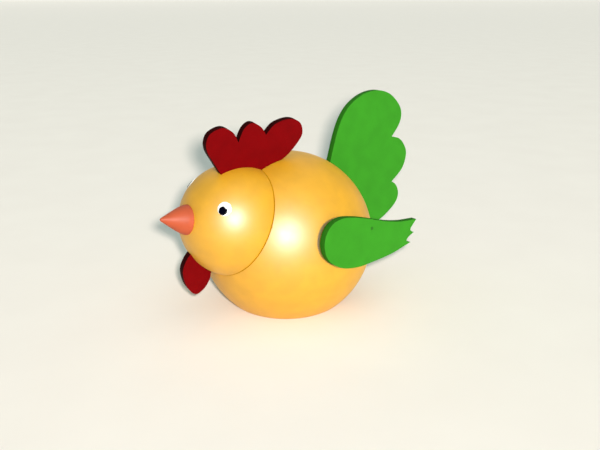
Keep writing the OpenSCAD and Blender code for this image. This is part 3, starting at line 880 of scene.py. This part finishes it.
class CHICKEN_OT_key_and_base(bpy.types.Operator):
    """Finishes the winding key, its bush, the base disc and the rubber foot"""

    bl_idname = "chicken.key_and_base"
    bl_label = "Key and Base"

    # Node, body, finish, rounding in mm, and degrees past which an edge is rounded.
    PIECES = (
        ("winding_key", "winding", "nickel_key", 0.35, 40),
        ("key_bush", "body", "motor_brass", 0.25, 50),
        ("base_plate", "body", "base_board", 0.2, 50),
        ("kicker_foot", "kicker", "foot_rubber", 0.5, 50),
    )

    def execute(self, context):
        for node, body, slot, radius, sharp in self.PIECES:
            bm = eased_copy(node, radius * MM, sharp)
            finish_piece(link(node + "_finished", bm, [MATERIALS[slot]]), node, body)
        return {"FINISHED"}


# ---- stage ----


class CHICKEN_OT_stage(bpy.types.Operator):
    """Lays the pale floor, hangs the soft lights and sets the camera"""

    bl_idname = "chicken.stage"
    bl_label = "Stage"

    FLOOR_REACH = 40.0  # half the sheet's side
    LAMP_RIGHT, LAMP_UP = 9 * MM, 8 * MM  # from the camera to the lamp beside it
    LAMP_SPREAD = 2.8  # evens the floor lamp's light with distance
    LIGHT_REACH = 1.5  # from the ball to the key light and the card
    KEY_RIGHT = 0.22  # the key light's turn to the right of the lamp
    GLOW_TOP = 0.28  # sine of the angle where the walls' glow has faded out

    # Name, azimuth, elevation, strength, and whether it lights the floor or all the rest.
    FILLS = (
        ("high_fill", 100, 65, 0.4, False),
        ("side_fill", 110, 25, 0.2, False),
        ("back_fill", 235, 30, 1.8, False),
        ("floor_fill", 60, 75, 0.85, True),
    )

    def execute(self, context):
        self.floor()
        camera = self.camera(context)
        self.lights(camera)
        self.room(context)
        return {"FINISHED"}

    def floor(self):
        """A wide pale sheet with faint mottling."""
        material, tree, shader = start_material("pale matt paper sheet")
        place = add(tree, "ShaderNodeTexCoord").outputs["Object"]
        cloud = add(
            tree, "ShaderNodeTexNoise", {"Vector": place, "Scale": 1 / PAPER_CLOUD, "Detail": 4.0}
        )
        shade = add(
            tree,
            "ShaderNodeMix",
            {0: cloud.outputs["Fac"], 6: rgba(linear("#E2E1DD")), 7: rgba(linear("#E8E8E4"))},
            data_type="RGBA",
        )
        tree.links.new(shade.outputs[2], shader.inputs["Base Color"])
        shader.inputs["Roughness"].default_value = 0.9
        bm = bmesh.new()
        bmesh.ops.create_grid(bm, x_segments=8, y_segments=8, size=self.FLOOR_REACH)
        sheet = link("floor", bm, [material])

    def camera(self, context):
        """The camera, to the toy's left front and a little above it."""
        s = context.scene.chicken_stage
        back = self.toward(s.azimuth, s.elevation)
        level = Vector((math.cos(s.azimuth), math.sin(s.azimuth), 0))
        upright = back.cross(level)
        right = level * math.cos(s.roll) + upright * math.sin(s.roll)
        top = upright * math.cos(s.roll) - level * math.sin(s.roll)
        data = bpy.data.cameras.new("camera")
        data.lens = s.lens
        data.sensor_width = 36.0
        data.clip_start = 0.01
        camera = bpy.data.objects.new("camera", data)
        place = BALL_CENTRE + back * s.distance + right * s.aim_right + top * s.aim_up
        turned = Matrix((right, top, back)).transposed().to_4x4()
        camera.matrix_world = Matrix.Translation(place) @ turned
        context.scene.collection.objects.link(camera)
        context.scene.camera = camera
        return camera

    def lights(self, camera):
        """A key light right of the camera, a card that only glints, a floor lamp and fills."""
        right, top = (camera.matrix_world.to_3x3().col[i] for i in range(2))
        beside = camera.location + right * self.LAMP_RIGHT + top * self.LAMP_UP
        over = (beside - BALL_CENTRE).normalized()
        key_at = BALL_CENTRE + (over + right * self.KEY_RIGHT).normalized() * self.LIGHT_REACH
        key = self.light("key_light", "AREA", key_at, power=26.5, colour="#FFFAF6")
        key.data.size = 0.15
        key.visible_glossy = False
        self.keep_to(key, "EXCLUDE")
        card_at = BALL_CENTRE + over * self.LIGHT_REACH
        card = self.light("glint_card", "AREA", card_at, power=68.0, colour="#FFFFFF")
        card.data.size = 0.06
        card.visible_diffuse = False
        self.keep_to(card, "EXCLUDE")
        lamp = self.light("floor_lamp", "POINT", beside, power=145.0, colour="#FFEDE2")
        lamp.data.shadow_soft_size = 7 * MM
        self.even_out(lamp.data)
        self.keep_to(lamp, "INCLUDE")
        for name, azimuth, elevation, power, on_floor in self.FILLS:
            fill_at = BALL_CENTRE + self.toward(math.radians(azimuth), math.radians(elevation))
            fill = self.light(name, "SUN", fill_at, power, colour="#FFFAF2")
            fill.data.angle = math.radians(60)
            fill.visible_glossy = False
            self.keep_to(fill, "INCLUDE" if on_floor else "EXCLUDE")

    def keep_to(self, light, state):
        """Lets a light reach only the floor, or everything but the floor."""
        group = bpy.data.collections.new(light.name + "_reach")
        group.objects.link(bpy.data.objects["floor"])
        group.collection_objects[0].light_linking.link_state = state
        light.light_linking.receiver_collection = group

    def even_out(self, lamp):
        """Makes a lamp light near and far floor nearly alike."""
        lamp.use_nodes = True
        tree = lamp.node_tree
        falloff = add(tree, "ShaderNodeLightFalloff", {"Strength": 1.0})
        lift = add(
            tree,
            "ShaderNodeMath",
            {0: falloff.outputs["Linear"], 1: self.LAMP_SPREAD},
            operation="POWER",
        )
        tree.links.new(lift.outputs["Value"], tree.nodes["Emission"].inputs["Strength"])

    def toward(self, azimuth, elevation):
        """The direction that is so far round from straight ahead and so far up, in radians."""
        level = math.cos(elevation)
        return Vector((math.sin(azimuth) * level, -math.cos(azimuth) * level, math.sin(elevation)))

    def light(self, name, kind, place, power, colour):
        """A light that faces the ball."""
        data = bpy.data.lights.new(name, kind)
        data.energy = power
        data.color = linear(colour)
        light = bpy.data.objects.new(name, data)
        light.matrix_world = turned_to((place - BALL_CENTRE).normalized(), place)
        bpy.context.scene.collection.objects.link(light)
        return light

    def room(self, context):
        """Pale light from all round, strongest along the horizon, where the walls are."""
        world = bpy.data.worlds.new("room")
        world.use_nodes = True
        tree = world.node_tree
        shell = tree.nodes["Background"]
        way = add(tree, "ShaderNodeTexCoord").outputs["Generated"]
        rise = add(tree, "ShaderNodeSeparateXYZ", {"Vector": way}).outputs["Z"]
        share = add(
            tree,
            "ShaderNodeMapRange",
            {"Value": rise, "From Max": self.GLOW_TOP},
            interpolation_type="SMOOTHSTEP",
        )
        shade = add(
            tree,
            "ShaderNodeMix",
            {0: share.outputs["Result"], 6: rgba(linear("#DADBD6")), 7: rgba(linear("#829896"))},
            data_type="RGBA",
        )
        tree.links.new(shade.outputs[2], shell.inputs["Color"])
        context.scene.world = world
        context.scene.view_settings.view_transform = "Standard"


class VIEW3D_PT_chicken(bpy.types.Panel):
    """Lists the chicken's pieces and their settings"""

    bl_label = "Hopping Chicken"
    bl_idname = "VIEW3D_PT_chicken"
    bl_space_type = "VIEW_3D"
    bl_region_type = "UI"
    bl_category = "Chicken"

    def draw(self, context):
        for operator in OPERATORS:
            self.layout.operator(operator.bl_idname)
        for group in ("chicken_sizes", "chicken_colours", "chicken_stage"):
            settings = getattr(context.scene, group)
            box = self.layout.box()
            for name in settings.bl_rna.properties.keys()[2:]:  # past rna_type and name
                box.prop(settings, name)


OPERATORS = (
    CHICKEN_OT_body_ball,
    CHICKEN_OT_head_ball,
    CHICKEN_OT_beak,
    CHICKEN_OT_boards,
    CHICKEN_OT_eyes,
    CHICKEN_OT_key_and_base,
    CHICKEN_OT_stage,
)
GROUPS = (ChickenSizes, ChickenColours, StageSettings)
CLASSES = GROUPS + OPERATORS + (VIEW3D_PT_chicken,)


def register():
    """Registers the classes and gives the scene its settings."""
    for cls in CLASSES:
        bpy.utils.register_class(cls)
    bpy.types.Scene.chicken_sizes = PointerProperty(type=ChickenSizes)
    bpy.types.Scene.chicken_colours = PointerProperty(type=ChickenColours)
    bpy.types.Scene.chicken_stage = PointerProperty(type=StageSettings)


def unregister():
    """Takes the settings and the classes away again."""
    for name in ("chicken_sizes", "chicken_colours", "chicken_stage"):
        delattr(bpy.types.Scene, name)
    for cls in reversed(CLASSES):
        bpy.utils.unregister_class(cls)


def main():
    """Builds every piece in order."""
    register()
    build_materials()
    dress_cad_nodes()
    for operator in OPERATORS:
        getattr(bpy.ops.chicken, operator.bl_idname.split(".")[1])()


if __name__ == "__main__":
    main()
